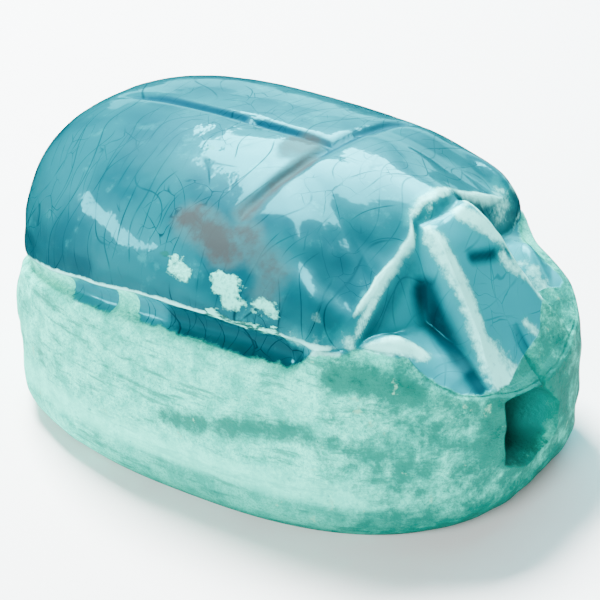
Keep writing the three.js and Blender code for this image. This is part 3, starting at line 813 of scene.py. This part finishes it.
def strip_field(points):
    """The darker strip along the foot of the base plate, widest at the front."""
    height = points[..., 2] + waves(points, *STRIP_WAVES)
    strip = ease(SHELF_HEIGHT + STRIP_ABOVE, SHELF_HEIGHT - STRIP_BELOW, height)
    return strip * ease(*STRIP_FRONT_RANGE, points[..., 1])


def rim_field(points, edge):
    """The rubbed line along the edge of the wing cases."""
    line = np.exp(-((points[..., 2] - edge - RIM_LINE_LIFT) / RIM_LINE_HALF) ** 2)
    return line * ease(*RIM_LINE_RANGE, points[..., 1])


def pooled_line_field(points):
    """Where the glaze pooled in the two incised lines."""
    shape = (POOLED_LINE_HALF, POOLED_LINE_SHARPNESS, POOLED_LINE_FADE, POOLED_START_RANGE)
    return back_lines(points[..., 0], points[..., 1], *shape)


def stain_field(points):
    return np.maximum(round_spot(points, *STAIN_SQUARE), long_spots(points, STAINS))


def green_field(points):
    """Greener parts of the base: round the bore's mouth, two long places and the whole front a little."""
    front = GREEN_FRONT_SHARE * ease(*GREEN_FRONT_RANGE, points[..., 1])
    return np.maximum.reduce([round_spot(points, *GREEN_MOUTH), long_spots(points, GREEN_PLACES), front])


def pit_field(points):
    """Two small burst bubbles in the glaze."""
    return np.maximum(round_spot(points, *PIT_UPPER), round_spot(points, *PIT_LOWER))


def surface_fields(plain, rows, ledge, edge):
    """Values that the finish needs at each point, by name."""
    height = rows[..., 2]
    return {
        "level": height - ledge - bare_front(rows) - bare_groove(rows, edge),
        "above": height - edge,
        "height": height,
        "strip": strip_field(rows),
        "proud": convexity(plain),
        "painted_shade": long_spots(rows, PAINTED_SHADE_PLACES),
        "pale": long_spots(rows, PALE_PLACES),
        "rim": rim_field(rows, edge),
        "head": 1.0 - ease(*HEAD_ZONE_RANGE, rows[..., 1]),
        "line": pooled_line_field(rows),
        "shade": long_spot(rows, *BAND_SHADE),
        "stain": stain_field(rows),
        "chip": long_spots(rows, CHIPS),
        "rough": long_spot(rows, *BROKEN_EDGE),
        "green": green_field(rows),
        "pit": pit_field(rows),
    }


def transfer(made, rows, fields):
    """Writes the fields on the cut mesh, each vertex taking the nearest point of the skin."""
    points = rows.reshape(-1, 3)
    tree = KDTree(len(points))
    for k, p in enumerate(points * MM):
        tree.insert(p, k)
    tree.balance()
    found = [tree.find(v.co) for v in made.data.vertices]
    index = np.array([hit[1] for hit in found])
    away = np.array([hit[2] for hit in found]) / MM
    values = {name: field.reshape(-1)[index] for name, field in fields.items()}
    values["inside"] = ease(*BORE_WALL_RANGE, away)
    for name, field in values.items():
        layer = made.data.attributes.new(name, "FLOAT", "POINT")
        layer.data.foreach_set("value", field.astype(np.float32))


class Tree:
    """Short forms for the nodes of one material. Values may be numbers or other nodes' sockets."""

    def __init__(self, material):
        self.nodes = material.node_tree.nodes
        self.links = material.node_tree.links
        self.nodes.clear()
        place = self.nodes.new("ShaderNodeTexCoord").outputs["Object"]
        self.place = self.vector("MULTIPLY", place, (1.0 / MM, 1.0 / MM, 1.0 / MM))

    def feed(self, socket, value):
        if isinstance(value, bpy.types.NodeSocket):
            self.links.new(value, socket)
        else:
            socket.default_value = value

    def vector(self, operation, a, b):
        node = self.nodes.new("ShaderNodeVectorMath")
        node.operation = operation
        self.feed(node.inputs[0], a)
        self.feed(node.inputs[1], b)
        return node.outputs[0]

    def math(self, operation, a, b=0.0):
        node = self.nodes.new("ShaderNodeMath")
        node.operation = operation
        self.feed(node.inputs[0], a)
        self.feed(node.inputs[1], b)
        return node.outputs[0]

    def times(self, a, b):
        return self.math("MULTIPLY", a, b)

    def without(self, mask, loss=1.0):
        """What is left of 1 where the mask takes away the given share."""
        return self.math("SUBTRACT", 1.0, self.times(mask, loss))

    def field(self, name):
        node = self.nodes.new("ShaderNodeAttribute")
        node.attribute_name = name
        return node.outputs["Fac"]

    def stretched(self, scale, shift):
        return self.vector("ADD", self.vector("MULTIPLY", self.place, scale), shift)

    def noise(self, scale, detail, roughness, place=None):
        node = self.nodes.new("ShaderNodeTexNoise")
        self.feed(node.inputs["Vector"], place or self.place)
        node.inputs["Scale"].default_value = scale
        node.inputs["Detail"].default_value = detail
        node.inputs["Roughness"].default_value = roughness
        return node.outputs["Fac"]

    def cell_edge(self, scale, place):
        node = self.nodes.new("ShaderNodeTexVoronoi")
        node.feature = "DISTANCE_TO_EDGE"
        self.feed(node.inputs["Vector"], place)
        node.inputs["Scale"].default_value = scale
        return node.outputs["Distance"]

    def step(self, value, low, high, out_low=0.0, out_high=1.0):
        node = self.nodes.new("ShaderNodeMapRange")
        node.interpolation_type = "SMOOTHSTEP"
        self.feed(node.inputs["Value"], value)
        node.inputs["From Min"].default_value = low
        node.inputs["From Max"].default_value = high
        node.inputs["To Min"].default_value = out_low
        node.inputs["To Max"].default_value = out_high
        return node.outputs["Result"]

    def blend(self, share, a, b):
        node = self.nodes.new("ShaderNodeMix")
        node.data_type = "RGBA"
        self.feed(node.inputs[0], share)
        self.feed(node.inputs[6], (*a, 1.0) if isinstance(a, tuple) else a)
        self.feed(node.inputs[7], (*b, 1.0) if isinstance(b, tuple) else b)
        return node.outputs[2]

    def layer(self, colour, mask, share, tone):
        """The colour with a tone laid over it, as strong as the mask times the share."""
        return self.blend(self.times(mask, share), colour, tone)

    def bump(self, height, strength, distance):
        node = self.nodes.new("ShaderNodeBump")
        self.feed(node.inputs["Height"], height)
        node.inputs["Strength"].default_value = strength
        node.inputs["Distance"].default_value = distance * MM
        return node.outputs["Normal"]


def frayed(tree, name, grain, amount, low, high):
    """A mask from one field, with its edge broken up by the grain."""
    shift = tree.times(tree.math("SUBTRACT", grain, 0.5), amount)
    return tree.step(tree.math("ADD", tree.field(name), shift), low, high)


def hairlines(tree, rate, sway, shift, width):
    """Long thin lines that run crosswise and bend, so many to the millimetre."""
    place = tree.stretched(EVEN, shift)
    bend = tree.times(tree.noise(*CRACK_BEND_NOISE, place), sway)
    along = tree.vector("MULTIPLY", tree.place, (0.0, rate, 0.0))
    length = tree.nodes.new("ShaderNodeSeparateXYZ")
    tree.feed(length.inputs[0], along)
    at = tree.math("ADD", length.outputs["Y"], bend)
    nearness = tree.math("ABSOLUTE", tree.math("SUBTRACT", tree.math("FRACT", at), 0.5))
    line = tree.step(nearness, 0.0, width, 1.0, 0.0)
    shown = tree.step(tree.noise(*CRACK_SHOWN_NOISE, place), *CRACK_SHOWN_RANGE)
    return tree.times(line, shown)


def crackle(tree):
    """Fine dark crack lines, mostly crosswise with a few joining them, 1 on a crack."""
    faint = tree.times(hairlines(tree, *FAINT_CRACKS), FAINT_CRACK_SHARE)
    lines = tree.math("MAXIMUM", hairlines(tree, *SPARSE_CRACKS), faint)
    lines = tree.math("MAXIMUM", hairlines(tree, *LONG_CRACKS), lines)
    sway = tree.vector("MULTIPLY", tree.noise(*CRACK_SWAY_NOISE), CRACK_NET_SWAY)
    cells = tree.cell_edge(CRACK_NET_SCALE, tree.vector("ADD", tree.place, sway))
    net = tree.step(cells, 0.0, CRACK_NET_WIDTH, 1.0, 0.0)
    where = tree.step(tree.noise(*CRACK_NET_NOISE, tree.stretched(*CRACK_NET_PLACE)), *CRACK_NET_RANGE)
    return tree.math("MAXIMUM", lines, tree.times(net, where))


def glaze_colour(tree, cracks, worn, grain):
    tone = tree.step(tree.noise(*TONE_NOISE), *TONE_RANGE)
    colour = tree.blend(tone, GLAZE, GLAZE_DARK)
    # Painted light: the head's glaze is a lighter copy, standing in for light on its front-facing plate
    colour = tree.blend(tree.field("head"), colour, GLAZE_HEAD_PAINTED_LIGHT)
    thin = tree.step(tree.noise(*THIN_NOISE), *THIN_RANGE)
    colour = tree.layer(colour, thin, THIN_SHARE, GLAZE_THIN)
    # Painted light: the band in the leg groove is a lighter glaze, with painted shade along its front part
    band_light_and_shade = tree.blend(frayed(tree, "shade", grain, *SHADE_FRAY), BAND_PAINTED_LIGHT, BAND_DARK)
    colour = tree.blend(tree.step(tree.field("above"), *BAND_RANGE), colour, band_light_and_shade)
    # Painted shade: the darkest glaze in the hollows beside the head and on the slopes turned from the light
    colour = tree.blend(frayed(tree, "painted_shade", grain, *PAINTED_SHADE_FRAY), colour, GLAZE_PAINTED_SHADE)
    colour = tree.layer(colour, frayed(tree, "line", grain, *LINE_FRAY), LINE_SHARE, GLAZE_LINE)
    colour = tree.layer(colour, cracks, CRACK_SHARE, CRACK)
    colour = tree.layer(colour, frayed(tree, "rim", grain, *RIM_FRAY), RIM_SHARE, GLAZE_BARE)
    colour = tree.layer(colour, frayed(tree, "pale", grain, *HALO_FRAY), HALO_SHARE, GLAZE_THIN)
    pale = frayed(tree, "pale", tree.noise(*SPECKLE_NOISE), *PALE_FRAY)
    return tree.layer(colour, tree.math("MAXIMUM", worn, pale), PALE_SHARE, GLAZE_BARE)


def stained_colour(tree, colour, film):
    """A thin grey film with darker brown patches in it."""
    colour = tree.layer(colour, film, FILM_SHARE, STAIN_LIGHT)
    patches = frayed(tree, "stain", tree.noise(*STAIN_NOISE), *STAIN_FRAY)
    return tree.layer(colour, patches, STAIN_SHARE, STAIN)


def chip_colour(tree, colour, fine_grain):
    """Cream patches where the glaze has flaked off, with a darker broken edge below."""
    patches = tree.noise(*CHIP_NOISE, tree.stretched(*CHIP_PLACE))
    cream = frayed(tree, "chip", patches, *CREAM_FRAY)
    shade = tree.step(fine_grain, *CREAM_RANGE, 0.0, CREAM_SHADE_SHARE)
    colour = tree.blend(cream, colour, tree.blend(shade, CREAM, CHIP_ROUGH))
    streaks = tree.noise(*BROKEN_NOISE, tree.stretched(*BROKEN_PLACE))
    broken = frayed(tree, "rough", streaks, *BROKEN_FRAY)
    broken_tone = tree.blend(tree.step(streaks, *BROKEN_RANGE), CHIP_ROUGH, CREAM)
    return tree.blend(broken, colour, broken_tone), tree.math("MAXIMUM", cream, broken)


def base_colour(tree):
    """Matt mint ware, with grain, lengthwise streaks, a pale band of painted light above the shelf, a darker
    foot and green clouds.
    """
    mottle = tree.step(tree.noise(*MOTTLE_NOISE), *MOTTLE_RANGE)
    colour = tree.blend(mottle, BASE_MINT, BASE_PALE)
    grain = tree.step(tree.noise(*BASE_GRAIN_NOISE), *BASE_GRAIN_RANGE)
    colour = tree.layer(colour, grain, BASE_GRAIN_SHARE, BASE_TEAL)
    streaks = tree.step(tree.noise(*STREAK_NOISE, tree.stretched(*STREAK_PLACE)), *STREAK_RANGE)
    colour = tree.layer(colour, streaks, STREAK_SHARE, BASE_TEAL)
    height = tree.field("height")
    # Painted light: a paler band just above the shelf, standing in for light on its raised edge
    painted_shelf_light = tree.times(tree.step(height, *SHELF_LIGHT_RANGE), tree.step(height, *SHELF_LIGHT_TOP_RANGE))
    colour = tree.layer(colour, painted_shelf_light, SHELF_LIGHT_SHARE, BASE_PALE)
    colour = tree.layer(colour, tree.field("strip"), STRIP_SHARE, BASE_TEAL)
    cloud = tree.times(tree.math("SUBTRACT", tree.noise(*CLOUD_NOISE), 0.5), CLOUD_SPREAD)
    clouded = tree.math("ADD", tree.field("green"), cloud)
    colour = tree.layer(colour, tree.step(clouded, *GREEN_RANGE), GREEN_SHARE, BASE_TEAL)
    colour = tree.layer(colour, tree.step(clouded, *GREEN_DARK_RANGE), GREEN_DARK_SHARE, BASE_GREEN)
    blotches = tree.step(tree.noise(*BLOTCH_NOISE, tree.stretched(*BLOTCH_PLACE)), *BLOTCH_RANGE)
    colour = tree.layer(colour, blotches, BLOTCH_SHARE, BASE_CREAM)
    flecks = tree.step(tree.noise(*FLECK_NOISE), *FLECK_RANGE)
    return tree.layer(colour, flecks, FLECK_SHARE, BASE_GREEN)


def scarab_material():
    """Crackled glaze over the back and the groove, matt ware below it and in the bore."""
    material = bpy.data.materials.new("scarab_glaze")
    material.use_nodes = True
    tree = Tree(material)
    grain = tree.noise(*GRAIN_NOISE)
    fine_grain = tree.noise(*FINE_NOISE)
    glazed = frayed(tree, "level", grain, *GLAZED_FRAY)
    worn = frayed(tree, "proud", grain, *WORN_FRAY)
    film = frayed(tree, "stain", grain, *FILM_FRAY)
    cracks = tree.times(crackle(tree), tree.step(tree.field("head"), 0.0, 1.0, 1.0, CRACK_HEAD_SHARE))
    colour = stained_colour(tree, glaze_colour(tree, cracks, worn, grain), film)
    colour, chipped = chip_colour(tree, colour, fine_grain)
    colour = tree.blend(tree.step(tree.field("pit"), *PIT_RANGE), colour, CHIP_ROUGH)
    colour = tree.blend(glazed, base_colour(tree), colour)
    colour = tree.blend(tree.field("inside"), colour, BORE_GREEN)
    smooth = tree.times(tree.times(glazed, tree.without(chipped)), tree.without(worn, WORN_GLOSS_LOSS))
    gloss = dulled(tree, smooth, film, cracks)
    build_shader(tree, colour, smooth, gloss, fine_grain)
    return material


def dulled(tree, gloss, film, cracks):
    """Less gloss under the grey film, on the cracks and where the glaze pooled in the lines."""
    dull = ((film, FILM_GLOSS_LOSS), (cracks, CRACK_GLOSS_LOSS), (tree.field("line"), LINE_GLOSS_LOSS))
    for mask, loss in dull:
        gloss = tree.times(gloss, tree.without(mask, loss))
    return gloss


def build_shader(tree, colour, smooth, gloss, fine_grain):
    """The glaze is a clear coat over its colour, smooth and a little uneven. The ware is matt and grainy."""
    shader = tree.nodes.new("ShaderNodeBsdfPrincipled")
    tree.feed(shader.inputs["Base Color"], colour)
    tree.feed(shader.inputs["Roughness"], tree.step(gloss, 0.0, 1.0, MATT_ROUGHNESS, GLAZE_ROUGHNESS))
    tree.feed(shader.inputs["Coat Weight"], gloss)
    shader.inputs["Specular IOR Level"].default_value = SPECULAR_LEVEL
    shader.inputs["Coat Roughness"].default_value = COAT_ROUGHNESS
    shader.inputs["Coat IOR"].default_value = COAT_IOR
    height = tree.times(fine_grain, tree.step(smooth, 0.0, 1.0, 1.0, GLAZE_BUMP_SHARE))
    tree.feed(shader.inputs["Normal"], tree.bump(height, BUMP_STRENGTH, BUMP_HEIGHT))
    swell = tree.bump(tree.noise(*SWELL_NOISE), SWELL_STRENGTH, SWELL_HEIGHT)
    tree.feed(shader.inputs["Coat Normal"], swell)
    output = tree.nodes.new("ShaderNodeOutputMaterial")
    tree.feed(output.inputs["Surface"], shader.outputs["BSDF"])


def build_scarab():
    plain, ledge, edge = skin()
    rows = carve(plain, ledge)
    fields = surface_fields(plain, rows, ledge, edge)
    body = closed_skin("scarab_body", rows, (0.0, 0.0, 0.0), (0.0, CROWN_Y, CROWN_HEIGHT))
    cut_bore(body)
    transfer(body, rows, fields)
    for polygon in body.data.polygons:
        polygon.use_smooth = True
    body.data.materials.clear()
    body.data.materials.append(scarab_material())
    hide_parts("scarab")
    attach(body, "root")


def build_floor():
    reach = FLOOR_REACH * MM
    corners = [(-reach, -reach, 0.0), (reach, -reach, 0.0), (reach, reach, 0.0), (-reach, reach, 0.0)]
    mesh = bpy.data.meshes.new("floor")
    mesh.from_pydata(corners, [], [(0, 1, 2, 3)])
    floor = bpy.data.objects.new("floor", mesh)
    bpy.context.collection.objects.link(floor)
    material = bpy.data.materials.new("floor_white")
    material.use_nodes = True
    shader = material.node_tree.nodes["Principled BSDF"]
    shader.inputs["Base Color"].default_value = FLOOR_WHITE
    shader.inputs["Roughness"].default_value = FLOOR_ROUGHNESS
    mesh.materials.append(material)
    floor.visible_glossy = False


def view_axes():
    flat = math.cos(VIEW_ELEVATION)
    back = Vector((math.sin(VIEW_AZIMUTH) * flat, -math.cos(VIEW_AZIMUTH) * flat, math.sin(VIEW_ELEVATION)))
    right = Vector((math.cos(VIEW_AZIMUTH), math.sin(VIEW_AZIMUTH), 0.0))
    return right, back.cross(right), back


def build_camera():
    right, up, back = view_axes()
    target = Vector((0.0, 0.0, VIEW_CENTRE_HEIGHT)) + right * VIEW_SHIFT_RIGHT + up * VIEW_SHIFT_UP
    place = (target + back * VIEW_DISTANCE) * MM
    data = bpy.data.cameras.new("camera")
    data.sensor_width = SENSOR
    data.lens = SENSOR * VIEW_DISTANCE * PIXELS_PER_MM / PICTURE_PIXELS
    data.clip_start = MM
    camera = bpy.data.objects.new("camera", data)
    camera.matrix_world = Matrix.Translation(place) @ Matrix((right, up, back)).transposed().to_4x4()
    bpy.context.collection.objects.link(camera)
    bpy.context.scene.camera = camera


def build_softbox(name, azimuth, elevation, distance, width, height, radiance):
    """A rectangular lamp that faces the amulet. Azimuth turns from +X towards +Y."""
    a, e = math.radians(azimuth), math.radians(elevation)
    toward = Vector((math.cos(a) * math.cos(e), math.sin(a) * math.cos(e), math.sin(e)))
    data = bpy.data.lights.new(name, "AREA")
    data.shape = "RECTANGLE"
    data.size = width * MM
    data.size_y = height * MM
    data.energy = radiance * math.pi * width * height * MM * MM
    lamp = bpy.data.objects.new(name, data)
    lamp.location = toward * distance * MM
    lamp.rotation_mode = "QUATERNION"
    lamp.rotation_quaternion = toward.to_track_quat("Z", "Y")
    bpy.context.collection.objects.link(lamp)
    return lamp


def build_sky():
    world = bpy.data.worlds.new("studio")
    world.use_nodes = True
    background = world.node_tree.nodes["Background"]
    background.inputs["Color"].default_value = SKY_WHITE
    background.inputs["Strength"].default_value = SKY_STRENGTH
    world.cycles_visibility.glossy = False
    bpy.context.scene.world = world


def build_lights():
    """Two lamps light the amulet, and four boxes only show in its gloss."""
    key = build_softbox("key", *KEY_LAMP)
    fill = build_softbox("fill", *FILL_LAMP)
    for lamp in (key, fill):
        lamp.visible_glossy = False
    far_box = build_softbox("far_box", *FAR_BOX)
    far_low_box = build_softbox("far_low_box", *FAR_LOW_BOX)
    rear_box = build_softbox("rear_box", *REAR_BOX)
    rear_low_box = build_softbox("rear_low_box", *REAR_LOW_BOX)
    for box in (far_box, far_low_box, rear_box, rear_low_box):
        box.visible_diffuse = False
        box.data.color = BOX_TINT
    build_sky()


build_scarab()
build_floor()
build_camera()
build_lights()
